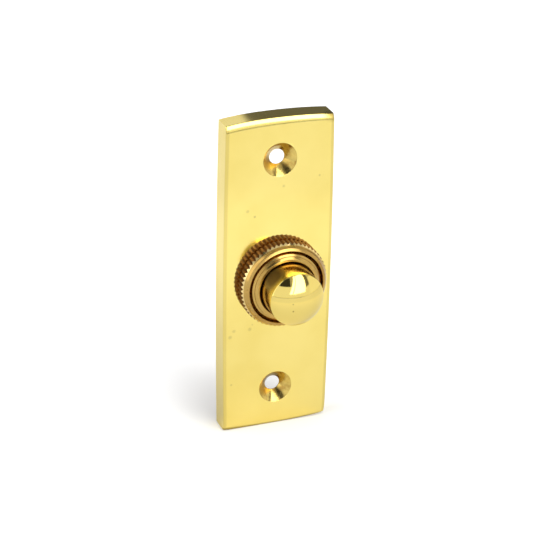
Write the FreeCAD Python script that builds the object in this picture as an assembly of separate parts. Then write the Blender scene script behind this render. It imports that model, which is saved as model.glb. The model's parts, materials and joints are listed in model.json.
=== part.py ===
import FreeCAD, Part
import math
import os

# A wall-mounted door bell push: an oblong plate with a knurled collar and a domed button.
# +X is the viewer's right, +Z is up, +Y goes into the wall. Millimetres.
# The screw holes end on y = 0, at the back of the plate's front wall, with the Y axis midway between them.
# The button's own axis runs beside the Y axis, because its hole is drilled a little off the plate's middle.

V = FreeCAD.Vector

# Backplate
plate_height = 76.0
plate_width = 25.77
plate_thick = 5.15
side_bow = 0.36
end_bow = 0.45
screw_spacing = 56.4
screw_hole_r = 1.75
countersink_r = 3.92
edge_break = 0.30
end_roll_drop = 0.50
end_roll_deep_side = 2.40
end_roll_thin_side = 1.50
end_roll_low_left = 3.20
end_roll_low_right = 3.10
countersink_depth = 2.17
face_wall = 2.30
side_wall = 2.00
pocket_corner_r = 1.50

# Where the button's axis crosses the plate
axis_x = 0.70
axis_z = -1.10

# Barrel that carries the button, clamped through the plate
barrel_r = 8.25
barrel_wall = 1.05
barrel_rear_wall = 0.75
barrel_lip_wall = 1.75
barrel_rear_y = 12.65
barrel_step_y = 6.15
rim_height = 4.65
rim_outer_height = 3.65
rim_bevel = 0.22
rim_step = 0.61
rim_fall = 0.42
lip_thick = 1.80
thread_clearance = 0.05
slide_clearance = 0.05
barrel_bore_r = barrel_r - barrel_wall
barrel_rear_bore_r = barrel_r - barrel_rear_wall
barrel_lip_bore_r = barrel_r - barrel_lip_wall

# Knurled collar screwed on the barrel from the front
collar_wall = 2.10
collar_teeth = 60
tooth_depth = 0.42
collar_back_height = 0.55
collar_knurl_height = 2.30
collar_chamfer = 0.60
collar_chamfer_height = 2.95
collar_mouth_gap = 0.30
collar_height = 3.95
collar_thread_height = 2.60
collar_bead = 0.21
collar_tip_r = barrel_r + collar_wall
collar_root_r = collar_tip_r - tooth_depth
collar_chamfer_r = collar_tip_r - collar_chamfer
collar_mouth_r = barrel_r + collar_mouth_gap

# Button
button_gap = 0.25
button_edge_height = 10.40
button_dome = 2.60
flange_thick = 1.40
travel = 1.80
recess_depth = 4.10
button_r = barrel_lip_bore_r - button_gap
flange_r = barrel_bore_r - slide_clearance
stem_r = 2.60
stem_length = 2.50
stem_hole_r = 1.02
stem_hole_depth = 4.30

# Buffer ring between the flange and the barrel's lip
buffer_gap = 0.20
buffer_thick = 0.50
buffer_bore_r = button_r + buffer_gap

# Spring and its seat
spring_wall_gap = 0.70
wire_r = 0.30
spring_active_turns = 4.0
spring_closed_turns = 1.0
runs_per_turn = 12
wire_sides = 6
seat_clearance = 0.10
spring_base_gap = 0.50
spring_recess_gap = 0.70
spring_seat_thick = 0.50
spring_mean_r = barrel_bore_r - spring_wall_gap - wire_r
spring_inner_r = spring_mean_r - wire_r
recess_outer_r = spring_inner_r - spring_recess_gap

# Moving contact on the stem
bush_r = 3.40
bush_thick = 0.80
bush_neck_r = 1.75
bush_hole_r = 1.06
bridge_margin = 0.20
bridge_hole_r = 1.80
bridge_thick = 0.50
bridge_washer_gap = 0.25
bridge_washer_thick = 0.60
screw_head_r = 1.90
screw_head_thick = 0.90
screw_shank_r = 0.97
screw_length = 3.90
screw_slot_width = 0.50
screw_slot_depth = 0.40

# Insulating base with its two contact studs
base_flange_thick = 1.50
base_front_y = 4.25
base_rear_y = 10.85
base_rim_wall = 1.40
base_wall_thick = 1.00
base_wall_height = 1.30
stud_x = 3.70
stud_r = 1.25
stud_hole_gap = 0.02
stud_head_r = 1.30
stud_tip_r = 1.00
stud_tip_length = 1.90
stud_proud = 0.20
base_flange_r = barrel_rear_bore_r - slide_clearance
base_front_r = spring_inner_r - spring_base_gap
base_rear_r = barrel_rear_bore_r - base_rim_wall
bridge_r = base_front_r - bridge_margin
bridge_washer_r = stud_x - stud_head_r - bridge_washer_gap
spring_seat_outer_r = barrel_bore_r - seat_clearance
spring_seat_inner_r = base_front_r + 2 * seat_clearance

# Ring that holds the base in the barrel
ring_clearance = 0.02
ring_base_gap = 0.20
ring_thick = 1.80
ring_slot_width = 1.40
ring_slot_depth = 1.00
ring_outer_r = barrel_rear_bore_r - ring_clearance
ring_inner_r = base_rear_r + ring_base_gap

# Terminal hardware
washer_r = 2.40
washer_hole_gap = 0.07
stud_washer_thick = 0.40
nut_flats = 5.00
nut_thick = 2.00
terminal_washer_r = 2.60
terminal_washer_thick = 0.50
stud_hole_r = stud_r + stud_hole_gap
washer_hole_r = stud_r + washer_hole_gap

# Clamping nut and shakeproof washer, inside the plate's hollow back
locknut_wall = 1.65
locknut_thick = 2.10
locknut_slots = 4
locknut_slot_width = 2.20
locknut_slot_depth = 1.20
lock_washer_inset = 0.20
lock_washer_gap = 0.15
lock_washer_thick = 0.60
lock_washer_teeth = 12
notch_depth = 0.60
notch_width = 1.10
locknut_r = barrel_r + locknut_wall
lock_washer_r = locknut_r - lock_washer_inset
lock_washer_hole_r = barrel_r + lock_washer_gap

# Levels along the button's axis, worked out from the sizes above
face_y = -face_wall
back_y = plate_thick - face_wall
rim_y = face_y - rim_height
lip_rear_y = rim_y + lip_thick
flange_front_y = lip_rear_y + buffer_thick
flange_rear_y = flange_front_y + flange_thick
stem_end_y = flange_rear_y + stem_length
bridge_front_y = stem_end_y + bush_thick
bridge_rear_y = bridge_front_y + bridge_thick
screw_seat_y = bridge_rear_y + bridge_washer_thick
contact_tip_y = bridge_rear_y + travel
spring_seat_y = barrel_step_y - spring_seat_thick
base_flange_rear_y = barrel_step_y + base_flange_thick
stud_nut_y = base_rear_y + stud_washer_thick
terminal_washer_y = stud_nut_y + nut_thick
terminal_nut_y = terminal_washer_y + terminal_washer_thick
stud_shank_y = terminal_nut_y + nut_thick + stud_proud
stud_end_y = stud_shank_y + stud_tip_length
locknut_seat_y = lock_washer_thick


def lathe(points):
    """Turns a closed outline of (radius, y) points round the Y axis. A point with two more values is an arc."""
    edges = []
    start = V(points[0][0], points[0][1], 0)
    first = start
    for p in points[1:]:
        end = V(p[0], p[1], 0)
        if len(p) == 4:
            edges.append(Part.Arc(start, V(p[2], p[3], 0), end).toShape())
        else:
            edges.append(Part.makeLine(start, end))
        start = end
    if (start - first).Length > 1e-6:
        edges.append(Part.makeLine(start, first))
    face = Part.Face(Part.Wire(edges))
    return face.revolve(V(0, 0, 0), V(0, 1, 0), 360)


def tube(outer, inner, y0, y1, x=0.0, z=0.0):
    """A plain ring or bush between two levels on the Y axis."""
    body = Part.makeCylinder(outer, y1 - y0, V(x, y0, z), V(0, 1, 0))
    if inner > 0:
        hole = Part.makeCylinder(inner, y1 - y0 + 2, V(x, y0 - 1, z), V(0, 1, 0))
        body = body.cut(hole)
    return body


def save(name, shape):
    shape.exportStep("parts/%s.step" % name)


# Everything but the plate is made on the Y axis and then set on the button's own axis
def save_on_axis(name, shape):
    shape.translate(V(axis_x, 0, axis_z))
    save(name, shape)


# A bar with two bowed edges, from the wall forward, longer than the plate by the margin at each end
def bowed_bar(half_length, half_width, bow, margin, swap, depth):
    chord = half_length
    r = (chord ** 2 + bow ** 2) / (2 * bow)
    reach = chord + margin
    edge = half_width - r + math.sqrt(r ** 2 - reach ** 2)
    outline = [(edge, reach), (-edge, reach), (-edge, -reach), (edge, -reach)]
    middles = [None, (-half_width, 0), None, (half_width, 0)]
    if swap:
        outline = [(b, a) for a, b in outline]
        middles = [m and (m[1], m[0]) for m in middles]
    corners = [V(a, back_y, b) for a, b in outline]
    edges = []
    for i in range(4):
        start = corners[i]
        end = corners[(i + 1) % 4]
        if middles[i]:
            edges.append(Part.Arc(start, V(middles[i][0], back_y, middles[i][1]), end).toShape())
        else:
            edges.append(Part.makeLine(start, end))
    return Part.Face(Part.Wire(edges)).extrude(V(0, -depth, 0))


# Plate outline: slightly bowed sides and ends, and a small rounded break along the two long front edges
def plate_blank():
    hx = plate_width / 2
    hz = plate_height / 2
    margin = 2.0
    sides = bowed_bar(hz - end_bow, hx, side_bow, margin, False, plate_thick)
    picked = []
    for e in sides.Edges:
        c = e.CenterOfMass
        if abs(c.y - face_y) < 1e-4 and abs(c.z) < 1.0:
            picked.append(e)
    sides = sides.makeFillet(edge_break, picked)
    ends = bowed_bar(hx - side_bow, hz, end_bow, margin, True, plate_thick)
    return sides.common(ends)


# Hollow cast in the plate's back, inside its four side walls
def pocket():
    hx = plate_width / 2
    hz = plate_height / 2
    margin = 2.0
    sides = bowed_bar(hz - end_bow, hx - side_wall, side_bow, margin, False, back_y)
    ends = bowed_bar(hx - side_bow, hz - side_wall, end_bow, margin, True, back_y)
    body = sides.common(ends)
    picked = []
    for e in body.Edges:
        c = e.CenterOfMass
        if abs(c.x) > hx - side_wall - 2 * side_bow and abs(c.z) > hz - side_wall - 2 * end_bow:
            picked.append(e)
    return body.makeFillet(pocket_corner_r, picked)


# Polishing has rolled the front face off towards both ends, more at the left of the top
def end_roll(length_left, length_right, sign):
    sections = []
    over = 1.0
    for x, length in ((-plate_width / 2 - over, length_left), (plate_width / 2 + over, length_right)):
        z_end = plate_height / 2
        z_in = z_end - length
        a = V(x, face_y, sign * z_in)
        b = V(x, face_y + end_roll_drop, sign * z_end)
        m = V(x, face_y + end_roll_drop * 0.33, sign * (z_in + 0.62 * length))
        far = V(x, face_y + end_roll_drop * 2.2, sign * (z_end + 1.2))
        top = V(x, face_y - 1.5, sign * (z_end + 1.2))
        low = V(x, face_y - 1.5, sign * z_in)
        wire = Part.Wire([
            Part.Arc(a, m, b).toShape(),
            Part.makeLine(b, far),
            Part.makeLine(far, top),
            Part.makeLine(top, low),
            Part.makeLine(low, a),
        ])
        sections.append(wire)
    return Part.makeLoft(sections, True, True)


def build_backplate():
    body = plate_blank()
    body = body.cut(end_roll(end_roll_deep_side, end_roll_thin_side, 1))
    body = body.cut(end_roll(end_roll_low_left, end_roll_low_right, -1))
    body = body.cut(pocket())
    body = body.cut(tube(barrel_r + thread_clearance, 0, face_y - 1, 1, axis_x, axis_z))
    slant = countersink_r - screw_hole_r
    for s in (-1, 1):
        # The countersink's cone runs on past the face, so that it meets the face cleanly
        cutter = lathe([
            (0, face_y - countersink_depth),
            (countersink_r + slant, face_y - countersink_depth),
            (screw_hole_r, face_y + countersink_depth),
            (screw_hole_r, 1),
            (0, 1),
        ])
        cutter.translate(V(0, 0, s * screw_spacing / 2))
        body = body.cut(cutter)
    return body


def build_barrel():
    r = barrel_r
    lip = barrel_lip_bore_r
    step = barrel_r - rim_step
    return lathe([
        (lip, lip_rear_y),
        (lip, rim_y + rim_bevel),
        (lip + rim_bevel, rim_y),
        (0.5 * (lip + step) + 0.12, rim_y + 0.05),
        (step, rim_y + rim_fall),
        (step + 0.05, rim_y + rim_fall + 0.18),
        (r, face_y - rim_outer_height),
        (r, barrel_rear_y - 0.3),
        (r - 0.3, barrel_rear_y),
        (barrel_rear_bore_r, barrel_rear_y),
        (barrel_rear_bore_r, barrel_step_y),
        (barrel_bore_r, barrel_step_y),
        (barrel_bore_r, lip_rear_y),
    ])


# Straight V knurl: a star prism trims the turned collar, and its chamfers run the teeth out
def build_collar():
    top = face_y - collar_height
    slope = (collar_chamfer_height - collar_knurl_height) / (collar_tip_r - collar_chamfer_r)
    back_slope = collar_back_height / (collar_tip_r - collar_chamfer_r)
    over_r = collar_tip_r + 0.2
    bead_r = 0.5 * (collar_chamfer_r + collar_mouth_r) + collar_bead
    bead_height = 0.5 * (collar_chamfer_height + collar_height) + collar_bead
    turned = lathe([
        (barrel_r + thread_clearance, face_y),
        (barrel_r + thread_clearance, face_y - collar_thread_height),
        (collar_mouth_r, face_y - collar_thread_height),
        (collar_mouth_r, top),
        (bead_r, face_y - bead_height),
        (collar_chamfer_r, face_y - collar_chamfer_height),
        (over_r, face_y - collar_knurl_height + slope * 0.2),
        (over_r, face_y - collar_back_height - back_slope * 0.2),
        (collar_chamfer_r, face_y),
    ])
    star = []
    for i in range(collar_teeth):
        a = 2 * math.pi * i / collar_teeth
        b = 2 * math.pi * (i + 0.5) / collar_teeth
        star.append(V(collar_tip_r * math.cos(a), 0, collar_tip_r * math.sin(a)))
        star.append(V(collar_root_r * math.cos(b), 0, collar_root_r * math.sin(b)))
    star.append(star[0])
    prism = Part.Face(Part.makePolygon(star)).extrude(V(0, -collar_height - 1, 0))
    prism.translate(V(0, face_y + 0.5, 0))
    return turned.common(prism)


def build_button():
    edge_y = face_y - button_edge_height
    top_y = edge_y - button_dome
    dome_r = (button_r ** 2 + button_dome ** 2) / (2 * button_dome)
    centre_y = top_y + dome_r
    body = lathe([
        (0, edge_y),
        (button_r, edge_y),
        (button_r, flange_front_y),
        (flange_r, flange_front_y),
        (flange_r, flange_rear_y),
        (recess_outer_r, flange_rear_y),
        (recess_outer_r, flange_rear_y - recess_depth),
        (stem_r, flange_rear_y - recess_depth),
        (stem_r, stem_end_y),
        (0, stem_end_y),
    ])
    ball = Part.makeSphere(dome_r, V(0, centre_y, 0), V(0, -1, 0), 0, 90, 360)
    cap = ball.common(Part.makeCylinder(button_r, button_dome + 1, V(0, edge_y, 0), V(0, -1, 0)))
    hole = Part.makeCylinder(stem_hole_r, stem_hole_depth, V(0, stem_end_y - stem_hole_depth, 0), V(0, 1, 0))
    return body.fuse(cap).cut(hole).removeSplitter()


# Compression spring with closed end coils, its wire laid in short straight runs with mitred joints
def build_spring():
    y0 = flange_rear_y + wire_r
    y1 = spring_seat_y - wire_r
    turns = spring_active_turns + 2 * spring_closed_turns
    count = round(turns * runs_per_turn)
    rises = []
    for i in range(count):
        from_end = min(i + 0.5, count - i - 0.5) / runs_per_turn
        rises.append(2 * wire_r * 1.04 if from_end < spring_closed_turns else 0)
    active = rises.count(0)
    pitch_rise = (y1 - y0 - sum(rises) / runs_per_turn) / active
    y = y0
    points = []
    for i in range(count + 1):
        angle = 2 * math.pi * i / runs_per_turn
        points.append(V(spring_mean_r * math.cos(angle), y, spring_mean_r * math.sin(angle)))
        if i < count:
            y += rises[i] / runs_per_turn if rises[i] else pitch_rise
    start = points[1] - points[0]
    start.normalize()
    side = start.cross(V(0, 1, 0)).normalize()
    up = side.cross(start).normalize()
    ring = []
    for i in range(wire_sides + 1):
        angle = 2 * math.pi * (i + 0.5) / wire_sides
        ring.append(points[0] + side * (wire_r * math.cos(angle)) + up * (wire_r * math.sin(angle)))
    pipe = Part.BRepOffsetAPI.MakePipeShell(Part.makePolygon(points))
    pipe.setTransitionMode(1)
    pipe.add(Part.makePolygon(ring))
    pipe.build()
    pipe.makeSolid()
    return pipe.shape()


def build_bridge_bush():
    return lathe([
        (bush_hole_r, stem_end_y),
        (bush_r, stem_end_y),
        (bush_r, bridge_front_y),
        (bush_neck_r, bridge_front_y),
        (bush_neck_r, bridge_rear_y),
        (bush_hole_r, bridge_rear_y),
    ])


def build_contact_bridge():
    return lathe([
        (bridge_hole_r, bridge_front_y),
        (bridge_r, bridge_front_y),
        (bridge_r, bridge_rear_y),
        (bridge_hole_r, bridge_rear_y),
    ])


def build_bridge_screw():
    head = lathe([
        (0, screw_seat_y),
        (screw_head_r, screw_seat_y),
        (screw_head_r, screw_seat_y + screw_head_thick - 0.2),
        (screw_head_r - 0.3, screw_seat_y + screw_head_thick),
        (0, screw_seat_y + screw_head_thick),
    ])
    shank = Part.makeCylinder(screw_shank_r, screw_length, V(0, screw_seat_y - screw_length, 0), V(0, 1, 0))
    slot_y = screw_seat_y + screw_head_thick - screw_slot_depth
    slot = Part.makeBox(screw_head_r * 3, 2, screw_slot_width, V(-screw_head_r * 1.5, slot_y, -screw_slot_width / 2))
    return head.fuse(shank).cut(slot).removeSplitter()


def build_base():
    body = lathe([
        (0, base_front_y),
        (base_front_r, base_front_y),
        (base_front_r, barrel_step_y),
        (base_flange_r, barrel_step_y),
        (base_flange_r, base_flange_rear_y),
        (base_rear_r, base_flange_rear_y),
        (base_rear_r, base_rear_y),
        (0, base_rear_y),
    ])
    for s in (-1, 1):
        body = body.cut(tube(stud_hole_r, 0, base_front_y - 1, base_rear_y + 1, s * stud_x))
    # A low wall keeps the two bare wires apart
    half = 0.74 * base_rear_r
    corner = V(-base_wall_thick / 2, base_rear_y - 0.3, -half)
    wall = Part.makeBox(base_wall_thick, base_wall_height + 0.3, 2 * half, corner)
    return body.fuse(wall).removeSplitter()


def build_stud(side):
    body = lathe([
        (0, contact_tip_y),
        (stud_head_r, contact_tip_y),
        (stud_head_r, base_front_y),
        (stud_r, base_front_y),
        (stud_r, stud_shank_y),
        (stud_tip_r, stud_shank_y),
        (stud_tip_r, stud_end_y - 0.2),
        (stud_tip_r - 0.2, stud_end_y),
        (0, stud_end_y),
    ])
    body.translate(V(side * stud_x, 0, 0))
    return body


def hex_nut(x, y):
    r = nut_flats / math.sqrt(3)
    corners = [math.radians(60 * i + 30) for i in range(7)]
    outline = Part.makePolygon([V(r * math.cos(a), y, r * math.sin(a)) for a in corners])
    body = Part.Face(outline).extrude(V(0, nut_thick, 0))
    body = body.cut(tube(stud_hole_r, 0, y - 1, y + nut_thick + 1))
    body.translate(V(x, 0, 0))
    return body


# The same fastener on both studs is one group of two solids
def both(maker):
    return Part.makeCompound([maker(-stud_x), maker(stud_x)])


def build_ring():
    body = tube(ring_outer_r, ring_inner_r, base_flange_rear_y, base_flange_rear_y + ring_thick)
    rear = base_flange_rear_y + ring_thick
    corner = V(-ring_outer_r - 1, rear - ring_slot_depth, -ring_slot_width / 2)
    slot = Part.makeBox(2 * ring_outer_r + 2, ring_slot_depth + 1, ring_slot_width, corner)
    return body.cut(slot)


def build_locknut():
    y0 = locknut_seat_y
    y1 = y0 + locknut_thick
    bore = barrel_r + thread_clearance
    body = lathe([
        (bore, y0),
        (locknut_r, y0),
        (locknut_r, y1 - 0.4),
        (locknut_r - 0.4, y1),
        (bore, y1),
    ])
    corner = V(locknut_r - locknut_slot_depth, y0 - 1, -locknut_slot_width / 2)
    for i in range(locknut_slots):
        slot = Part.makeBox(locknut_slot_depth + 1, locknut_thick + 2, locknut_slot_width, corner)
        slot.rotate(V(0, 0, 0), V(0, 1, 0), 45 + 360.0 * i / locknut_slots)
        body = body.cut(slot)
    return body


# Shakeproof washer with notches cut round its rim
def build_lock_washer():
    body = tube(lock_washer_r, lock_washer_hole_r, 0, locknut_seat_y)
    corner = V(lock_washer_r - notch_depth, -1, -notch_width / 2)
    for i in range(lock_washer_teeth):
        notch = Part.makeBox(notch_depth + 1, lock_washer_thick + 2, notch_width, corner)
        notch.rotate(V(0, 0, 0), V(0, 1, 0), 360.0 * i / lock_washer_teeth)
        body = body.cut(notch)
    return body


def main():
    os.makedirs("parts", exist_ok=True)
    save("backplate", build_backplate())
    save_on_axis("barrel", build_barrel())
    save_on_axis("knurled_collar", build_collar())
    save_on_axis("push_button", build_button())
    save_on_axis("button_buffer", tube(flange_r, buffer_bore_r, lip_rear_y, flange_front_y))
    save_on_axis("return_spring", build_spring())
    save_on_axis("spring_seat", tube(spring_seat_outer_r, spring_seat_inner_r, spring_seat_y, barrel_step_y))
    save_on_axis("bridge_bush", build_bridge_bush())
    save_on_axis("contact_bridge", build_contact_bridge())
    save_on_axis("bridge_washer", tube(bridge_washer_r, bush_hole_r, bridge_rear_y, screw_seat_y))
    save_on_axis("bridge_screw", build_bridge_screw())
    save_on_axis("contact_base", build_base())
    save_on_axis("contact_stud_left", build_stud(-1))
    save_on_axis("contact_stud_right", build_stud(1))
    save_on_axis("stud_washers", both(lambda x: tube(washer_r, washer_hole_r, base_rear_y, stud_nut_y, x)))
    save_on_axis("stud_nuts", both(lambda x: hex_nut(x, stud_nut_y)))
    save_on_axis("terminal_washers", both(lambda x: tube(terminal_washer_r, washer_hole_r, terminal_washer_y, terminal_nut_y, x)))
    save_on_axis("terminal_nuts", both(lambda x: hex_nut(x, terminal_nut_y)))
    save_on_axis("base_retaining_ring", build_ring())
    save_on_axis("rear_locknut", build_locknut())
    save_on_axis("lock_washer", build_lock_washer())


main()
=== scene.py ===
"""A brass door bell push: the look of its CAD parts, and the photograph's camera and light."""
import bpy
import bmesh
import json
import math
from mathutils import Matrix, Vector


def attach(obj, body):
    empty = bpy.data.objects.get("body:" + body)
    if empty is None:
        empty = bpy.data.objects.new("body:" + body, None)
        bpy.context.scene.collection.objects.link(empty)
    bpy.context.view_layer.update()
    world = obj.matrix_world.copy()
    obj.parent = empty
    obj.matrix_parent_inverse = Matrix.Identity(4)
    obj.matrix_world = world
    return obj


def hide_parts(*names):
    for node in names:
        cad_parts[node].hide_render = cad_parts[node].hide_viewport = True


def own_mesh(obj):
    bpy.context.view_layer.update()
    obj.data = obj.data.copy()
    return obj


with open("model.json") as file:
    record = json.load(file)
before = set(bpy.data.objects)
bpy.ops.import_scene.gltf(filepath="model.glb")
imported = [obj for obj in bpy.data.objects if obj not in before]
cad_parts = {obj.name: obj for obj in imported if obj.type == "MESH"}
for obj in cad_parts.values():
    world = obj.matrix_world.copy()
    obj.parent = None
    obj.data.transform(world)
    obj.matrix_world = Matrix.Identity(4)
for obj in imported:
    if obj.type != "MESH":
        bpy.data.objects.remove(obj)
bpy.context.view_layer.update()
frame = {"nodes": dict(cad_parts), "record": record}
MM = 0.001

# Sizes are in millimetres. Levels along Y: the plate's face and the plane that it rests on;
# its front wall's back is at 0
FACE = -2.30
BACK = 2.85
# Where the button's axis crosses the plate
AX = 0.70
AZ = -1.10

PLATE_HALF_WIDTH = 12.885
PLATE_HALF_HEIGHT = 38.0
SIDE_BOW = 0.36
END_BOW = 0.45
EDGE_R = 0.30
END_EDGE_R = 0.16
SIDE_WALL = 2.0
HOLLOW_CORNER_R = 1.5
# The face is rolled off at both ends: its depth, and its length at the left and at the right
ROLL_DROP = 0.5
TOP_ROLL = (2.75, 1.85)
FOOT_ROLL = (3.20, 3.10)
# How far the top's corners are rubbed down, left and right
TOP_RUB = (0.36, 0.15)

HOLE_Z = 28.2
SCREW_R = 1.75
SINK_R = 3.955
BARREL_HOLE_R = 8.30

# The barrel's front rim and the lip inside it
BARREL_R = 8.25
RIM = FACE - 4.65
LIP_R = 6.50
LIP_REAR = RIM + 1.80
BARREL_STEP_Y = 6.15
BARREL_END_Y = 12.65

STUD_X = 3.70
STUD_R = 1.25

# The photograph's camera
CAMERA_AT = (-138.2097, -355.9169, 182.5877)
CAMERA_RIGHT = (0.93518, -0.35361, 0.01973)
CAMERA_UP = (0.13644, 0.41112, 0.90131)
CAMERA_BACK = (-0.32682, -0.84020, 0.43272)
CAMERA_LENS = 122.88


# Materials

class Nodes:
    """A few short words for building shader node trees."""

    def __init__(self, tree):
        self.tree = tree
        tree.nodes.clear()

    def new(self, kind, **values):
        node = self.tree.nodes.new(kind)
        for key, value in values.items():
            setattr(node, key, value)
        return node

    def link(self, out, socket):
        self.tree.links.new(out, socket)

    def put(self, socket, value):
        if isinstance(value, (int, float, tuple)):
            socket.default_value = value
        else:
            self.link(value, socket)

    def math(self, op, a, b=None):
        node = self.new("ShaderNodeMath", operation=op)
        for i, value in enumerate((a, b)):
            if value is not None:
                self.put(node.inputs[i], value)
        return node.outputs[0]

    def plus(self, a, b):
        return self.math("ADD", a, b)

    def minus(self, a, b):
        return self.math("SUBTRACT", a, b)

    def times(self, a, b):
        return self.math("MULTIPLY", a, b)

    def ramp(self, value, low, high, to_low=0.0, to_high=1.0):
        node = self.new("ShaderNodeMapRange", interpolation_type="SMOOTHSTEP")
        self.put(node.inputs["Value"], value)
        self.put(node.inputs["From Min"], low)
        self.put(node.inputs["From Max"], high)
        self.put(node.inputs["To Min"], to_low)
        self.put(node.inputs["To Max"], to_high)
        return node.outputs["Result"]

    def mix(self, factor, a, b):
        node = self.new("ShaderNodeMix", data_type="RGBA")
        self.put(node.inputs["Factor"], factor)
        self.put(node.inputs["A"], a)
        self.put(node.inputs["B"], b)
        return node.outputs["Result"]

    def noise(self, where, scale, detail, rough):
        node = self.new("ShaderNodeTexNoise")
        self.link(where, node.inputs["Vector"])
        node.inputs["Scale"].default_value = scale
        node.inputs["Detail"].default_value = detail
        node.inputs["Roughness"].default_value = rough
        return node.outputs["Fac"]

    def stretched(self, where, scale):
        node = self.new("ShaderNodeMapping")
        self.link(where, node.inputs["Vector"])
        node.inputs["Scale"].default_value = scale
        return node.outputs["Vector"]

    def parts(self, where):
        node = self.new("ShaderNodeSeparateXYZ")
        self.link(where, node.inputs[0])
        return node.outputs

    def distance(self, where, point):
        node = self.new("ShaderNodeVectorMath", operation="DISTANCE")
        self.link(where, node.inputs[0])
        node.inputs[1].default_value = point
        return node.outputs["Value"]

    def bump(self, shader, height, strength, depth):
        node = self.new("ShaderNodeBump")
        node.inputs["Strength"].default_value = strength
        node.inputs["Distance"].default_value = depth * MM
        self.link(height, node.inputs["Height"])
        self.link(node.outputs["Normal"], shader.inputs["Normal"])


def rgba(r, g, b):
    """A colour given as 0 to 255 screen values, as linear light."""
    out = []
    for v in (r, g, b):
        v /= 255.0
        out.append(v / 12.92 if v <= 0.04045 else ((v + 0.055) / 1.055) ** 2.4)
    return (out[0], out[1], out[2], 1.0)


def material(name):
    mat = bpy.data.materials.new(name)
    mat.use_nodes = True
    n = Nodes(mat.node_tree)
    shader = n.new("ShaderNodeBsdfPrincipled")
    out = n.new("ShaderNodeOutputMaterial")
    n.link(shader.outputs["BSDF"], out.inputs["Surface"])
    where = n.new("ShaderNodeTexCoord").outputs["Object"]
    mat.diffuse_color = (0.8, 0.65, 0.25, 1.0)
    return mat, n, shader, where


def edge_strips_and_foot_shade(n, where):
    """Darker strips along the plate's two long front edges, and a painted shade along its foot that stands
    for the contact shadow it mirrors; 0 elsewhere.
    """
    x, y, z = n.parts(where)
    bow = n.math("POWER", n.math("DIVIDE", z, (PLATE_HALF_HEIGHT - END_BOW) * MM), 2.0)
    out = n.plus(n.math("ABSOLUTE", x), n.times(bow, SIDE_BOW * MM))
    rim = n.times(
        n.ramp(out, 12.02 * MM, 12.30 * MM),
        n.ramp(y, (FACE + 0.25) * MM, (FACE + 0.60) * MM, 1.0, 0.0))
    bow = n.math("POWER", n.math("DIVIDE", x, PLATE_HALF_WIDTH * MM), 2.0)
    down = n.plus(n.times(z, -1.0), n.times(bow, END_BOW * MM))
    # painted shade along the foot: the mirrored contact shadow under the plate
    foot = n.times(
        n.ramp(down, 37.30 * MM, 37.85 * MM),
        n.ramp(y, (FACE + 0.75) * MM, (FACE + 1.00) * MM, 1.0, 0.0))
    return n.math("MAXIMUM", n.times(rim, 0.22), n.times(foot, 0.75))


# Fine grain of turned metal: long round the Y axis
TURNED = (0.05, 1, 0.05)
# Colour of the darker edge strips and of the painted shade along the plate's foot
EDGE_AND_FOOT_SHADE_TONE = rgba(150, 126, 58)
TARNISH_AND_SHADE_TONE = rgba(96, 74, 34)


def metal(name, base, worn, rough_low, rough_high,
          grain=(1, 1, 1), bump=0.02, cloud=140.0, specks=(), edges=False):
    """Polished or turned metal: clouded colour, uneven gloss, fine lines, dark specks (some tarnish, some
    painted shade), and on the plate its darker edge strips and the painted shade along its foot.
    """
    mat, n, shader, where = material(name)
    clouds = n.noise(where, cloud, 3.0, 0.55)
    colour = n.mix(n.ramp(clouds, 0.35, 0.75), base, worn)
    fine = n.noise(n.stretched(where, grain), 5200.0, 2.0, 0.6)
    gloss = n.noise(where, cloud * 2.6, 4.0, 0.6)
    rough = n.ramp(n.plus(n.times(gloss, 0.6), n.times(fine, 0.4)), 0.35, 0.68, rough_low, rough_high)
    spot = None
    for x, y, z, r, depth in specks:
        away = n.distance(where, (x * MM, y * MM, z * MM))
        ragged = n.plus(away, n.times(n.minus(fine, 0.5), 0.35 * r * MM))
        one = n.ramp(ragged, 0.35 * r * MM, r * MM, depth, 0.0)
        spot = one if spot is None else n.math("MAXIMUM", spot, one)
    # the plate's darker edge strips and the painted shade along its foot
    if edges:
        colour = n.mix(edge_strips_and_foot_shade(n, where), colour, EDGE_AND_FOOT_SHADE_TONE)
    if spot is not None:
        # dark specks: tarnish, and painted shade where a list of specks stands for shade
        colour = n.mix(spot, colour, TARNISH_AND_SHADE_TONE)
        rough = n.plus(rough, n.times(spot, 0.35))
    n.put(shader.inputs["Base Color"], colour)
    n.put(shader.inputs["Roughness"], rough)
    shader.inputs["Metallic"].default_value = 1.0
    n.bump(shader, fine, bump, 0.02)
    return mat


def plastic(name, base, other, rough, scale, bump):
    """Moulded or fibre board: speckled colour, uneven gloss and a fine grain."""
    mat, n, shader, where = material(name)
    grain = n.noise(where, scale, 5.0, 0.65)
    n.put(shader.inputs["Base Color"], n.mix(n.ramp(grain, 0.38, 0.64), base, other))
    n.put(shader.inputs["Roughness"], n.ramp(grain, 0.3, 0.7, rough - 0.08, rough + 0.1))
    n.bump(shader, grain, bump, 0.03)
    return mat


def knurl_metal():
    """Old polish and lacquer left in the knurl: brown in the roots, brass on the tips."""
    mat, n, shader, where = material("collar_brass_knurl")
    x, _, z = n.parts(where)
    x = n.minus(x, AX * MM)
    z = n.minus(z, AZ * MM)
    r = n.math("SQRT", n.plus(n.times(x, x), n.times(z, z)))
    blotch = n.noise(where, 2600.0, 4.0, 0.65)
    patchy = n.plus(r, n.times(n.minus(blotch, 0.5), 1.1 * MM))
    tip = n.ramp(patchy, 9.98 * MM, 10.50 * MM)
    n.put(shader.inputs["Base Color"], n.mix(tip, rgba(82, 46, 24), rgba(136, 92, 50)))
    n.put(shader.inputs["Roughness"], n.ramp(blotch, 0.3, 0.7, 0.38, 0.58))
    shader.inputs["Metallic"].default_value = 1.0
    n.bump(shader, blotch, 0.3, 0.03)
    return mat
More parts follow.
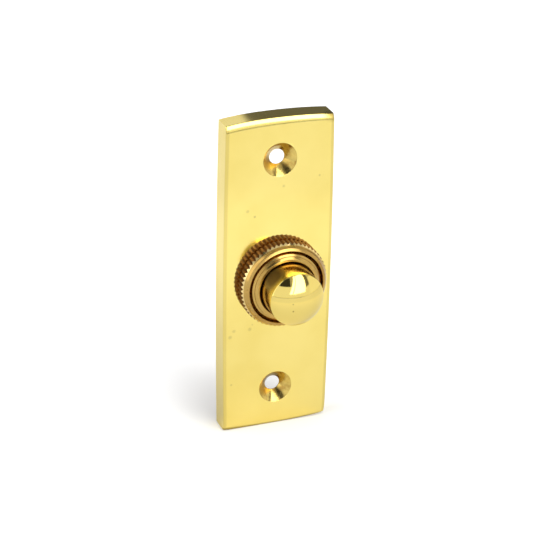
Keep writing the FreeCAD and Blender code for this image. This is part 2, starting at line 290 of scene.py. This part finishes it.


# Tarnish specks: x, y, z, size, strength. The last on the plate darkens the right end of its roll
PLATE_SPECKS = (
    (-7.4, FACE, 16.9, 0.55, 0.18), (-5.7, FACE, 15.4, 0.40, 0.26), (0.95, FACE, 21.9, 0.45, 0.18),
    (9.4, FACE, 23.4, 0.32, 0.26), (-11.2, FACE, -13.6, 0.62, 0.22), (-10.3, FACE, -12.2, 0.55, 0.20),
    (-6.5, FACE, -12.3, 0.60, 0.22), (-5.9, FACE, -11.2, 0.30, 0.18), (-10.8, FACE, -25.9, 0.38, 0.22),
    (12.4, FACE + 0.2, 38.2, 3.0, 0.75),
)
DOME_SPECKS = ((-1.2, -15.1, -0.8, 0.24, 0.40), (-1.1, -15.0, -2.6, 0.28, 0.6))
BUTTON_SIDE_SPECKS = ((-3.9, -9.2, 3.6, 4.2, 0.92),)
# Painted shade on the left side of each countersink
SINK_SHADE_SPOTS = tuple((-3.0, FACE + 0.8, z - 0.6, 2.6, 0.55) for z in (HOLE_Z, -HOLE_Z))

MAT = {
    # the plate gets the darker edge strips and the painted shade along its foot
    "plate_brass": metal(
        "plate_brass_polished", rgba(250, 229, 137), rgba(243, 220, 124), 0.07, 0.13,
        (1, 1, 0.02), 0.012, 60.0, PLATE_SPECKS, True),
    "plate_cast": metal(
        "plate_brass_cast", rgba(196, 160, 84), rgba(150, 116, 58), 0.38, 0.62,
        bump=0.5, cloud=300.0),
    "plate_sink": metal(
        "plate_brass_countersink", rgba(216, 190, 106), rgba(184, 150, 76), 0.15, 0.24,
        bump=0.06, cloud=700.0, specks=SINK_SHADE_SPOTS),
    "barrel_brass": metal(
        "barrel_brass_turned", rgba(202, 168, 94), rgba(178, 142, 74), 0.15, 0.26, TURNED),
    # The mouth inside the lip is painted dark: painted shade in the gap round the button
    "barrel_bore": metal(
        "barrel_brass_mouth_painted_shade", rgba(128, 88, 46), rgba(80, 50, 26), 0.34, 0.50, TURNED, 0.06, 420.0),
    "collar_edge": metal(
        "collar_brass_edge", rgba(236, 210, 146), rgba(214, 184, 116), 0.09, 0.16, TURNED),
    "collar_brass": metal(
        "collar_brass_turned", rgba(192, 158, 88), rgba(168, 130, 68), 0.19, 0.31, TURNED),
    # The dome's brass is darker than the plate's: painted shade for the shadowed floor that the dome mirrors
    "button_brass": metal(
        "button_brass_mirror_painted_shade", rgba(234, 211, 121), rgba(226, 201, 110), 0.05, 0.09,
        bump=0.01, cloud=90.0, specks=DOME_SPECKS),
    "button_side": metal(
        "button_brass_side", rgba(236, 208, 112), rgba(190, 158, 80), 0.11, 0.20,
        TURNED, 0.05, 300.0, BUTTON_SIDE_SPECKS),
    "terminal_brass": metal(
        "terminal_brass_plain", rgba(226, 196, 120), rgba(196, 160, 88), 0.22, 0.38,
        (0.2, 1, 0.2), 0.1),
    "contact_bronze": metal(
        "contact_bronze_strip", rgba(214, 160, 106), rgba(180, 122, 76), 0.24, 0.4,
        (1, 0.1, 0.1), 0.1),
    "spring_steel": metal(
        "spring_steel_wire", rgba(205, 205, 200), rgba(170, 168, 162), 0.2, 0.34, bump=0.1),
    "plated_steel": metal(
        "plated_steel_zinc", rgba(214, 212, 200), rgba(186, 182, 164), 0.3, 0.46,
        bump=0.12, cloud=240.0),
    "fibre": plastic("fibre_board", rgba(128, 44, 32), rgba(92, 28, 22), 0.62, 900.0, 0.35),
    "phenolic": plastic("phenolic_moulded", rgba(44, 27, 20), rgba(26, 17, 14), 0.26, 1400.0, 0.12),
}

for entry in frame["record"]["subparts"]:
    obj = frame["nodes"][entry["node"]]
    obj.data.materials.clear()
    obj.data.materials.append(MAT[entry["material_slot"]])


# Mesh helpers

def make(name, verts, faces, slot_name, sharp=()):
    """A mesh object, smooth but for the edges between the pairs of points in sharp."""
    mesh = bpy.data.meshes.new(name)
    mesh.from_pydata([(x * MM, y * MM, z * MM) for x, y, z in verts], [], faces)
    mesh.validate()
    obj = bpy.data.objects.new(name, mesh)
    bpy.context.scene.collection.objects.link(obj)
    bm = bmesh.new()
    bm.from_mesh(mesh)
    bmesh.ops.recalc_face_normals(bm, faces=bm.faces)
    for face in bm.faces:
        face.smooth = True
    wanted = {frozenset(pair) for pair in sharp}
    for edge in bm.edges:
        if frozenset((edge.verts[0].index, edge.verts[1].index)) in wanted:
            edge.smooth = False
    bm.to_mesh(mesh)
    bm.free()
    mesh.materials.append(MAT[slot_name])
    return obj


def quads(rings, closed=False):
    """Faces from each ring of points to the next, and where closed from the last to the first."""
    faces = []
    n = len(rings[0])
    for i in range(len(rings) if closed else len(rings) - 1):
        one = rings[i]
        two = rings[(i + 1) % len(rings)]
        for k in range(n):
            m = (k + 1) % n
            faces.append((one[k], one[m], two[m], two[k]))
    return faces


def loop_edges(ring):
    return [(ring[k], ring[(k + 1) % len(ring)]) for k in range(len(ring))]


def rounded(points, radius, steps=4):
    """An open outline of (r, y) points with its corners rounded; a point may carry its own radius."""
    out = []
    for i, point in enumerate(points):
        here = Vector(point[:2])
        size = point[2] if len(point) > 2 else radius
        if size <= 0 or i in (0, len(points) - 1):
            out.append((here.x, here.y))
            continue
        before = Vector(points[i - 1][:2]) - here
        after = Vector(points[i + 1][:2]) - here
        turn = before.angle(after)
        if turn > math.radians(172):
            out.append((here.x, here.y))
            continue
        back = min(size / math.tan(turn / 2), 0.45 * before.length, 0.45 * after.length)
        a = here + before.normalized() * back
        b = here + after.normalized() * back
        for k in range(steps + 1):
            t = k / steps
            p = a * (1 - t) ** 2 + here * 2 * t * (1 - t) + b * t ** 2
            out.append((p.x, p.y))
    return out


def turned(name, profile, slot_name, segments=192, closed=True, shape=None, x=AX, z=AZ):
    """Turns an outline of (radius, y) points round the Y axis through (x, z).

    shape(r, y, angle) may move the radius. Corners of more than 24 degrees are kept sharp.
    """
    verts = []
    faces = []
    sharp = []
    count = len(profile)
    rings = []
    for r, y in profile:
        if r < 1e-6:
            verts.append((x, y, z))
            rings.append([len(verts) - 1] * segments)
            continue
        ring = []
        for k in range(segments):
            a = 2 * math.pi * k / segments
            rr = shape(r, y, a) if shape else r
            verts.append((x + rr * math.cos(a), y, z + rr * math.sin(a)))
            ring.append(len(verts) - 1)
        rings.append(ring)
    for face in quads(rings, closed):
        # a ring on the axis is one point, so its faces are triangles or nothing
        corners = list(dict.fromkeys(face))
        if len(corners) > 2:
            faces.append(corners)
    for i in range(count):
        if not closed and i in (0, count - 1):
            continue
        a = Vector(profile[i]) - Vector(profile[i - 1])
        b = Vector(profile[(i + 1) % count]) - Vector(profile[i])
        if a.length > 1e-9 and b.length > 1e-9 and a.angle(b) > math.radians(24.0):
            sharp += loop_edges(rings[i])
    return make(name, verts, faces, slot_name, sharp)


def stand_for(obj, body, slot_name, *nodes):
    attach(obj, body)
    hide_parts(*nodes)
    return obj


def cut_with(obj, cutter):
    """Cuts the cutter out of the object's mesh and deletes it."""
    mod = obj.modifiers.new("cut", "BOOLEAN")
    mod.operation = "DIFFERENCE"
    mod.solver = "EXACT"
    mod.object = cutter
    depsgraph = bpy.context.evaluated_depsgraph_get()
    mesh = bpy.data.meshes.new_from_object(obj.evaluated_get(depsgraph))
    obj.modifiers.clear()
    obj.data = mesh
    bpy.data.objects.remove(cutter, do_unlink=True)


# Plate

def plate_levels():
    """Heights of the plate's rows of points, close together where the face is rolled off."""
    half = PLATE_HALF_HEIGHT
    ends = [0.0, 0.012, 0.035, 0.07, 0.11, 0.16]
    d = 0.24
    while d < 3.6:
        ends.append(d)
        d += 0.12
    levels = [half - e for e in ends]
    levels += [half - 3.6 - i * (half - 3.6) / 14 for i in range(14)]
    return sorted(set([-v for v in levels] + levels + [0.0]))


def face_at(u, v):
    """The face's level at u across the plate, -1 to 1, and v up it."""
    end = PLATE_HALF_HEIGHT - abs(v)
    left, right = TOP_ROLL if v > 0 else FOOT_ROLL
    length = left + (right - left) * (u + 1) / 2
    y = FACE
    if end < length:
        y += ROLL_DROP * ((length - end) / length) ** 2.3
    if end < END_EDGE_R:
        y += END_EDGE_R - math.sqrt(max(0.0, END_EDGE_R ** 2 - (END_EDGE_R - end) ** 2))
    return y


def plate_mesh():
    """Bowed outline, rounded long edges, and a face rolled off towards both ends."""
    half = PLATE_HALF_HEIGHT
    columns = [-1 + 2 * i / 24 for i in range(1, 24)]
    steps = 8
    verts = []
    rows = []
    for v in plate_levels():
        t = v / half
        row = []
        wide = PLATE_HALF_WIDTH - SIDE_BOW * (v / (half - END_BOW)) ** 2

        def at(u, y):
            bow = END_BOW * min(1.0, u * u)
            if t < 0:
                # the foot is straighter at its left end, and both its corners are blunt
                bow *= 0.15 if u < 0 else 1.0 + 0.4 * u * u
                bow += 0.16 * min(1.0, abs(u)) ** 16
            z = t * (half - bow)
            if t > 0:
                z -= t ** 8 * (TOP_RUB[0] * max(0.0, -u) ** 3 + TOP_RUB[1] * max(0.0, u) ** 3)
            verts.append((u * wide, y, z))
            row.append(len(verts) - 1)

        def round_edge(side, k):
            # k counts from the side wall to the face
            a = 0.5 * math.pi * k / steps
            u = side * (wide - EDGE_R + EDGE_R * math.cos(a)) / wide
            at(u, face_at(u, v) + EDGE_R * (1 - math.sin(a)))

        inner = (wide - EDGE_R) / wide - 0.004
        at(-1, BACK)
        at(-1, 0.5 * (BACK + FACE))
        for k in range(steps + 1):
            round_edge(-1, k)
        for c in columns:
            at(c * inner, face_at(c * inner, v))
        for k in range(steps, -1, -1):
            round_edge(1, k)
        at(1, 0.5 * (BACK + FACE))
        at(1, BACK)
        for c in reversed(columns):
            at(c * inner, BACK)
        rows.append(row)
    faces = quads(rows)
    sharp = []
    # places in a row: the face's first and last point, and the last point of the right side wall
    first = 2 + steps
    last = first + len(columns) + 1
    side_end = last + steps + 2
    for row in (rows[0], rows[-1]):
        fronts = row[first + 1:last]
        backs = row[:side_end:-1]
        faces.append(row[:first + 1])
        for i in range(len(fronts) - 1):
            faces.append((fronts[i], fronts[i + 1], backs[i + 1], backs[i]))
        faces.append([row[first], fronts[0], backs[0], row[0]])
        faces.append([fronts[-1], row[last], row[side_end], backs[-1]])
        faces.append(row[last:side_end + 1])
        sharp += loop_edges(row)
    for one, two in zip(rows, rows[1:]):
        sharp += [(one[0], two[0]), (one[side_end], two[side_end])]
    return make("plate_body", verts, faces, "plate_brass", sharp)


def hollow_cutter():
    """The hollow cast in the back, with rounded corners and a small fillet round its floor."""
    wx = PLATE_HALF_WIDTH - SIDE_WALL
    wz = PLATE_HALF_HEIGHT - SIDE_WALL
    corner = HOLLOW_CORNER_R
    steps = 12
    verts = []
    rings = []
    for y, inset in (
            (BACK + 1.0, -0.02), (BACK, 0.0), (0.45, 0.05), (0.15, 0.10), (0.05, 0.18), (0.0, 0.3)):
        ring = []
        hx = wx - inset
        hz = wz - inset
        outline = []
        for sx, sz, a0 in ((1, 1, 0), (-1, 1, 90), (-1, -1, 180), (1, -1, 270)):
            for k in range(7):
                a = math.radians(a0 + 15 * k)
                outline.append((
                    sx * (hx - corner) + corner * math.cos(a),
                    sz * (hz - corner) + corner * math.sin(a)))
            for k in range(1, steps):
                along = 1 - 2 * k / steps
                if sx * sz > 0:
                    outline.append((sx * (hx - corner) * along, sz * hz))
                else:
                    outline.append((sx * hx, sz * (hz - corner) * along))
        for x, z in outline:
            bx = x * (1 - SIDE_BOW / wx * (z / wz) ** 2)
            bz = z * (1 - END_BOW / wz * (x / wx) ** 2)
            verts.append((bx, y, bz))
            ring.append(len(verts) - 1)
        rings.append(ring)
    faces = [list(rings[0]), list(reversed(rings[-1]))] + quads(rings)
    return make("hollow_cutter", verts, faces, "plate_cast")


def build_plate():
    plate = plate_mesh()
    cut_with(plate, hollow_cutter())
    hole = [(0, -6), (BARREL_HOLE_R, -6), (BARREL_HOLE_R, 4), (0, 4)]
    cut_with(plate, turned("hole_cutter", hole, "plate_brass", 128, False))
    for sign in (-1, 1):
        cone = turned("sink_cutter", [
            (0, FACE - 0.6), (4.62, FACE - 0.6), (4.02, FACE - 0.012), (SINK_R, FACE + 0.012),
            (3.90, FACE + 0.045), (1.80, FACE + 2.14), (1.755, FACE + 2.20),
            (SCREW_R, FACE + 2.24), (SCREW_R, 1.0), (0, 1.0)],
            "plate_brass", 128, False, x=0.0, z=0.0)
        for v in cone.data.vertices:
            v.co.z += sign * HOLE_Z * MM
        cut_with(plate, cone)
    mesh = plate.data
    mesh.materials.clear()
    mesh.materials.append(MAT["plate_brass"])
    mesh.materials.append(MAT["plate_cast"])
    mesh.materials.append(MAT["plate_sink"])
    for poly in mesh.polygons:
        c = poly.center / MM
        in_hollow = abs(c.x) < 11.2 and abs(c.z) < 36.3 and c.y > -0.001
        from_screw = math.hypot(c.x, abs(c.z) - HOLE_Z)
        if in_hollow:
            poly.material_index = 1
        elif from_screw < SINK_R + 0.005 and FACE + 0.008 < c.y < 0.001:
            poly.material_index = 2
        else:
            poly.material_index = 0
        poly.use_smooth = poly.material_index != 1
    mesh.set_sharp_from_angle(angle=math.radians(26))
    mod = plate.modifiers.new("normals", "WEIGHTED_NORMAL")
    mod.keep_sharp = True
    mod.weight = 60
    stand_for(plate, "housing", "plate_brass", "backplate")


# Barrel, collar and button

def thread(base_r, y0, y1, pitch, depth, fade=0.8):
    """A screw thread as a change of radius over part of a turned outline."""
    def shape(r, y, angle):
        if r < base_r - 0.01 or y < y0 or y > y1:
            return r
        run = min(1.0, (y - y0) / fade, (y1 - y) / fade)
        wave = 0.5 - 0.5 * math.cos(2 * math.pi * (y / pitch - angle / (2 * math.pi)))
        return r - depth * wave * run
    return shape


def levels_between(r, y0, y1, step):
    """Points along a straight side, for a thread to move."""
    count = max(2, round((y1 - y0) / step))
    return [(r, y0 + (y1 - y0) * i / count) for i in range(1, count)]


def build_barrel():
    rim_r = 7.64
    front = rounded([
        (7.20, LIP_REAR),
        (LIP_R, LIP_REAR, 0.15),
        (LIP_R, RIM + 0.22, 0.16),
        (LIP_R + 0.22, RIM, 0.16),
        (7.19, RIM + 0.05, 0.1),
        (rim_r, RIM + 0.42, 0.12),
        (rim_r + 0.05, RIM + 0.60, 0.05),
        (8.12, FACE - 3.74, 0.14),
        (BARREL_R, FACE - 3.30, 0.10),
        (BARREL_R, FACE - 1.0),
    ], 0.1, 5)
    outline = front + levels_between(BARREL_R, FACE - 1.0, BARREL_END_Y - 0.30, 0.1)
    outline += [
        (BARREL_R, BARREL_END_Y - 0.30), (BARREL_R - 0.30, BARREL_END_Y), (7.50, BARREL_END_Y),
        (7.50, BARREL_STEP_Y), (7.20, BARREL_STEP_Y)]
    shape = thread(BARREL_R, 0.2, 12.6, 1.0, 0.28)
    obj = turned("barrel_body", outline, "barrel_brass", 160, shape=shape)
    obj.data.materials.append(MAT["barrel_bore"])
    # the faces inside the lip take the mouth's painted shade
    for poly in obj.data.polygons:
        c = poly.center / MM
        if math.hypot(c.x - AX, c.z - AZ) < LIP_R + 0.20 and c.y < 0:
            poly.material_index = 1
    stand_for(obj, "housing", "barrel_brass", "barrel")


def build_collar():
    """Straight V knurl whose two chamfers run the teeth out."""
    teeth = 60
    tip = 10.35
    depth = 0.42
    chamfer_r = 9.75
    # heights over the plate's face
    foot = 0.55
    knurl = 2.30
    chamfer = 2.95
    mouth_r = 8.84
    along = (-0.5, -0.44, -0.32, -0.16, -0.05, 0.0, 0.05, 0.16, 0.32, 0.44)
    angles = []
    radii = []
    for i in range(teeth):
        for t in along:
            angles.append(2 * math.pi * (i + t) / teeth)
            radii.append(tip - depth * max(0.04, min(0.95, abs(t) * 2)))
    n = len(angles)
    verts = []

    def ring(values):
        out = []
        for k in range(n):
            r, h = values(radii[k])
            verts.append((AX + r * math.cos(angles[k]), FACE - h, AZ + r * math.sin(angles[k])))
            out.append(len(verts) - 1)
        return out

    def low(rk):
        return foot - foot / (tip - chamfer_r) * (tip - rk)

    slope = (chamfer - knurl) / (tip - chamfer_r)

    def high(rk):
        return knurl + slope * (tip - rk)

    rings = [
        ring(lambda rk: (BARREL_HOLE_R, 0.0)),
        ring(lambda rk: (chamfer_r, 0.0)),
        ring(lambda rk: (rk, low(rk))),
    ]
    for t in (0.25, 0.5, 0.75):
        rings.append(ring(lambda rk, t=t: (rk, low(rk) * (1 - t) + high(rk) * t)))
    rings.append(ring(lambda rk: (rk, high(rk))))
    crease = (0, 1, 2, 6)
    bead = 0.21 * 0.80
    top = rounded([
        (chamfer_r + 0.12, chamfer - 0.12 * slope),
        (chamfer_r, chamfer, 0.10),
        (0.5 * (chamfer_r + 8.80) + bead, 0.5 * (chamfer + 3.88) + bead, 0.38),
        (mouth_r, 3.92, 0.08),
        (8.76, 3.78, 0.05),
        (8.57, 3.20, 0.05),
        (8.55, 2.60, 0),
        (BARREL_HOLE_R, 2.60, 0),
        (BARREL_HOLE_R, 0.6),
    ], 0.1, 6)
    for r, h in top:
        rings.append(ring(lambda rk, r=r, h=h: (r, h)))
    sharp = []
    for i in crease:
        sharp += loop_edges(rings[i])
    obj = make("collar_body", verts, quads(rings, True), "collar_brass", sharp)
    obj.data.materials.append(knurl_metal())
    obj.data.materials.append(MAT["collar_edge"])
    for poly in obj.data.polygons:
        band = poly.index // n
        poly.material_index = 1 if 1 <= band < 6 else 2 if band == 6 else 0
    stand_for(obj, "housing", "collar_brass", "knurled_collar")


def build_button():
    edge = FACE - 10.40
    r = 6.25
    dome = 2.60
    ball = (r * r + dome * dome) / (2 * dome)
    centre = edge - dome + ball
    limit = math.asin(r / ball)
    cap = []
    for k in range(49):
        a = limit * k / 48
        cap.append((ball * math.sin(a), centre - ball * math.cos(a)))
    # the dome's last point and the button's side meet in a small rounding
    joint = rounded([cap[-3], (r, edge, 0.22), (r, edge + 1.2)], 0.22, 8)
    flange_front = LIP_REAR + 0.50
    flange_rear = flange_front + 1.40
    recess_floor = flange_rear - 4.10
    stem_end = flange_rear + 2.50
    bore_floor = stem_end - 4.3
    rest = rounded([
        (r, edge + 1.2),
        (r, flange_front),
        (7.15, flange_front),
        (7.15, flange_rear),
        (4.90, flange_rear),
        (4.90, recess_floor, 0.2),
        (2.60, recess_floor, 0.2),
        (2.60, stem_end),
        (1.02, stem_end, 0.05),
        (1.02, bore_floor, 0),
        (0, bore_floor),
    ], 0.1, 3)
    outline = cap[:-3] + joint + rest[1:]
    obj = turned("button_body", outline, "button_brass", 224, closed=False)
    obj.data.materials.append(MAT["button_side"])
    for poly in obj.data.polygons:
        if poly.center.y / MM > edge + 0.12:
            poly.material_index = 1
    stand_for(obj, "button", "button_brass", "push_button")


# Spring

def build_spring():
    """Round wire with closed, ground end coils."""
    wire = 0.30
    y0 = -3.25 + wire
    y1 = 5.65 - wire
    turns = 6.0
    mean_r = 6.20
    per = 40
    count = int(turns * per)
    closed = 2 * wire * 1.04
    pitch = (y1 - y0 - 2 * closed) / (turns - 2)
    verts = []
    rings = []
    sides = 10
    for i in range(count + 1):
        t = i / per
        if t < 1:
            y = y0 + closed * t
        elif t > turns - 1:
            y = y1 - closed * (turns - t)
        else:
            y = y0 + closed + pitch * (t - 1)
        a = 2 * math.pi * t
        out = Vector((math.cos(a), 0, math.sin(a)))
        centre = out * mean_r + Vector((AX, y, AZ))
        for k in range(sides):
            b = 2 * math.pi * k / sides
            verts.append(tuple(centre + out * (wire * math.cos(b)) + Vector((0, wire * math.sin(b), 0))))
        rings.append(list(range(i * sides, (i + 1) * sides)))
    obj = make("spring_wire", verts, quads(rings) + [rings[0], rings[-1]], "spring_steel")
    stand_for(obj, "housing", "spring_steel", "return_spring")
    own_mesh(obj)


# Terminals

def build_studs():
    head_y = 2.35
    base_y = 4.25
    shank_y = 15.95
    end_y = 17.85
    for side, node in ((-1, "contact_stud_left"), (1, "contact_stud_right")):
        outline = [
            (0, head_y), (1.10, head_y), (1.30, head_y + 0.15), (1.30, base_y), (STUD_R, base_y),
            (STUD_R, 10.8)]
        outline += levels_between(STUD_R, 10.8, 15.85, 0.05)
        outline += [
            (STUD_R, 15.85), (1.15, shank_y), (1.00, shank_y), (1.00, 17.65), (0.80, end_y),
            (0, end_y)]
        shape = thread(STUD_R, 10.85, shank_y, 0.5, 0.14, 0.3)
        obj = turned(node + "_turned", outline, "terminal_brass", 40, False, shape, x=AX + side * STUD_X)
        stand_for(obj, "housing", "terminal_brass", node)


def hex_nut(name, x, y, thick, flats, bore):
    """A six-sided nut with turned chamfers on both faces and in its bore."""
    segments = 96
    lead = 0.18
    chamfer_r = flats * 0.49
    verts = []
    # eight rings, from the bore over the near face, the flats and the far face back to the bore
    rings = [[] for _ in range(8)]
    corners = []
    for k in range(segments):
        a = 2 * math.pi * k / segments
        local = (a + math.pi / 6) % (math.pi / 3) - math.pi / 6
        hexagon = (flats / 2) / math.cos(local)
        drop = max(0.0, (hexagon - chamfer_r) * 0.5)
        corners.append((a, (
            (bore, lead), (bore + lead, 0.0), (chamfer_r, 0.0), (hexagon, drop),
            (hexagon, thick - drop), (chamfer_r, thick), (bore + lead, thick), (bore, thick - lead))))
    for i, ring in enumerate(rings):
        for a, section in corners:
            r, h = section[i]
            verts.append((x + r * math.cos(a), y + h, AZ + r * math.sin(a)))
            ring.append(len(verts) - 1)
    sharp = []
    for ring in rings:
        sharp += loop_edges(ring)
    for k in range(8, segments, 16):
        sharp.append((rings[3][k], rings[4][k]))
    return make(name, verts, quads(rings, True), "terminal_brass", sharp)


def join(name, parts):
    bm = bmesh.new()
    for part in parts:
        bm.from_mesh(part.data)
    mesh = bpy.data.meshes.new(name)
    bm.to_mesh(mesh)
    bm.free()
    mesh.materials.append(MAT["terminal_brass"])
    obj = bpy.data.objects.new(name, mesh)
    bpy.context.scene.collection.objects.link(obj)
    for part in parts:
        bpy.data.objects.remove(part, do_unlink=True)
    return obj


def build_nuts():
    for node, level in (("stud_nuts", 11.25), ("terminal_nuts", 13.75)):
        pair = [hex_nut("nut", AX + side * STUD_X, level, 2.0, 5.0, 1.27) for side in (-1, 1)]
        stand_for(join(node + "_hex", pair), "housing", "terminal_brass", node)


# Floor, world, lamp and camera

def build_floor():
    """White paper that glows for the camera and for mirror rays, with a painted soft shadow at the object's
    foot.
    """
    mesh = bpy.data.meshes.new("floor")
    z = -PLATE_HALF_HEIGHT * MM
    reach = 0.62
    edge = []
    for k in range(96):
        a = math.pi * k / 48
        edge.append((reach * math.cos(a), 0.08 + reach * math.sin(a), z))
    mesh.from_pydata(edge, [], [tuple(range(96))])
    obj = bpy.data.objects.new("floor", mesh)
    bpy.context.scene.collection.objects.link(obj)
    mat = bpy.data.materials.new("floor_white")
    mat.use_nodes = True
    n = Nodes(mat.node_tree)
    out = n.new("ShaderNodeOutputMaterial")
    paper = n.new("ShaderNodeBsdfDiffuse")
    paper.inputs["Color"].default_value = (0.82, 0.82, 0.82, 1)
    glow = n.new("ShaderNodeEmission")
    path = n.new("ShaderNodeLightPath")
    mirrored = n.math("MAXIMUM", path.outputs["Is Glossy Ray"], path.outputs["Is Transmission Ray"])
    where = n.new("ShaderNodeTexCoord").outputs["Object"]
    # painted light and shade in what the brass mirrors: a glow, lowest right at the object's foot and lower
    # again on the far paper
    away = n.distance(where, (0, 0, z))
    far = n.minus(n.ramp(away, 0.012, 0.12, -0.02, 0.17), n.ramp(away, 0.118, 0.152, 0.0, 0.10))
    # the camera sees it glowing white, a little less so at the foot: a painted soft shadow
    white = n.ramp(n.distance(where, (0, 4.0 * MM, z)), 0.010, 0.034, 0.17, 0.34)
    seen = n.plus(n.times(path.outputs["Is Camera Ray"], white), n.times(mirrored, far))
    n.link(seen, glow.inputs["Strength"])
    both = n.new("ShaderNodeAddShader")
    n.link(paper.outputs[0], both.inputs[0])
    n.link(glow.outputs[0], both.inputs[1])
    n.link(both.outputs[0], out.inputs["Surface"])
    mesh.materials.append(mat)


# What the brass mirrors, each over those before it: from and to azimuth, from and to elevation,
# softness, lean, all in degrees but the lean, and brightness. Azimuth is 0 in front of the
# object and grows to its right.
ROOM = (
    # the white window wall at the left, the wall ahead and a dark figure over it
    (-125, -61, -2.5, 58, 3.0, 0, 2.3),
    (-61, 30, -2.8, 29.5, 1.2, 0, 1.32),
    (-47, -10.5, 29.5, 56, 1.2, 0, 0.05),
    # the wall at the right
    (45, 108, -4, 36, 3.0, 0, 1.45),
    (45, 108, 36, 62, 3.0, 0, 0.95),
    (27, 50, -4, 19, 2.0, 0, 1.35),
    # the window, its upright bar and the dark curtain beside it
    (-17.5, 29.5, 8, 58, 1.2, 0.42, 4.8),
    (-9.2, -6.8, 8, 58, 0.8, 0.42, 0.9),
    (30.5, 44, 19, 60, 2.5, 0.42, 0.22),
    # behind the object: dark and pale strips that the plate's top edge mirrors
    (138, 163.0, 4, 40, 0.8, 0, 0.17),
    (163.0, 174, 4, 40, 0.8, 0, 1.1),
    (-176, -144, 4, 46, 5.0, 0, 0.12),
    (-180, -80, 60, 86, 6.0, 0, 0.30),
    # the table's edge
    (-60, 14, -4.4, -2.6, 0.7, 0, 0.85),
)


def build_world():
    """The room round the object as its brass mirrors it, and plain white for the camera."""
    world = bpy.data.worlds.new("room")
    bpy.context.scene.world = world
    world.use_nodes = True
    n = Nodes(world.node_tree)
    out = n.new("ShaderNodeOutputWorld")
    back = n.new("ShaderNodeBackground")
    n.link(back.outputs[0], out.inputs["Surface"])
    x, y, z = n.parts(n.new("ShaderNodeTexCoord").outputs["Generated"])
    az = n.times(n.math("ARCTAN2", x, n.times(y, -1.0)), 180 / math.pi)
    el = n.times(n.math("ARCSINE", z), 180 / math.pi)

    def patch(az0, az1, el0, el1, soft, lean):
        across = n.minus(az, n.times(el, lean)) if lean else az
        return n.times(
            n.times(n.ramp(across, az0 - soft, az0 + soft), n.ramp(across, az1 - soft, az1 + soft, 1.0, 0.0)),
            n.times(n.ramp(el, el0 - soft, el0 + soft), n.ramp(el, el1 - soft, el1 + soft, 1.0, 0.0)))

    behind = n.ramp(n.math("ABSOLUTE", az), 85.0, 135.0)
    level = n.plus(0.62, n.times(behind, -0.34))
    # pale ceiling
    level = n.plus(level, n.times(n.ramp(el, 52.0, 75.0), 0.35))
    for az0, az1, el0, el1, soft, lean, value in ROOM:
        mask = patch(az0, az1, el0, el1, soft, lean)
        level = n.plus(n.times(level, n.minus(1.0, mask)), n.times(mask, value))
    camera = n.new("ShaderNodeLightPath").outputs["Is Camera Ray"]
    level = n.plus(n.times(n.times(level, 0.8), n.minus(1.0, camera)), camera)
    back.inputs["Color"].default_value = (1, 1, 1, 1)
    n.link(level, back.inputs["Strength"])


def build_lamp():
    lamp = bpy.data.lights.new("ceiling_panel", "AREA")
    lamp.shape = "RECTANGLE"
    lamp.size = 0.8
    lamp.size_y = 0.8
    lamp.energy = 2.6
    obj = bpy.data.objects.new("ceiling_panel", lamp)
    bpy.context.scene.collection.objects.link(obj)
    obj.location = (0.05, -0.25, 0.9)
    obj.rotation_euler = (math.radians(-14), 0, 0)
    obj.visible_glossy = False


def build_camera():
    camera = bpy.data.cameras.new("camera")
    camera.sensor_width = 36
    camera.lens = CAMERA_LENS
    camera.clip_start = 0.01
    camera.clip_end = 20
    obj = bpy.data.objects.new("camera", camera)
    bpy.context.scene.collection.objects.link(obj)
    turn = Matrix((CAMERA_RIGHT, CAMERA_UP, CAMERA_BACK)).transposed().to_4x4()
    obj.matrix_world = Matrix.Translation(Vector(CAMERA_AT) * MM) @ turn
    bpy.context.scene.camera = obj


build_plate()
build_barrel()
build_collar()
build_button()
build_spring()
build_studs()
build_nuts()
build_floor()
build_world()
build_lamp()
build_camera()
bpy.context.scene.view_settings.view_transform = "Standard"
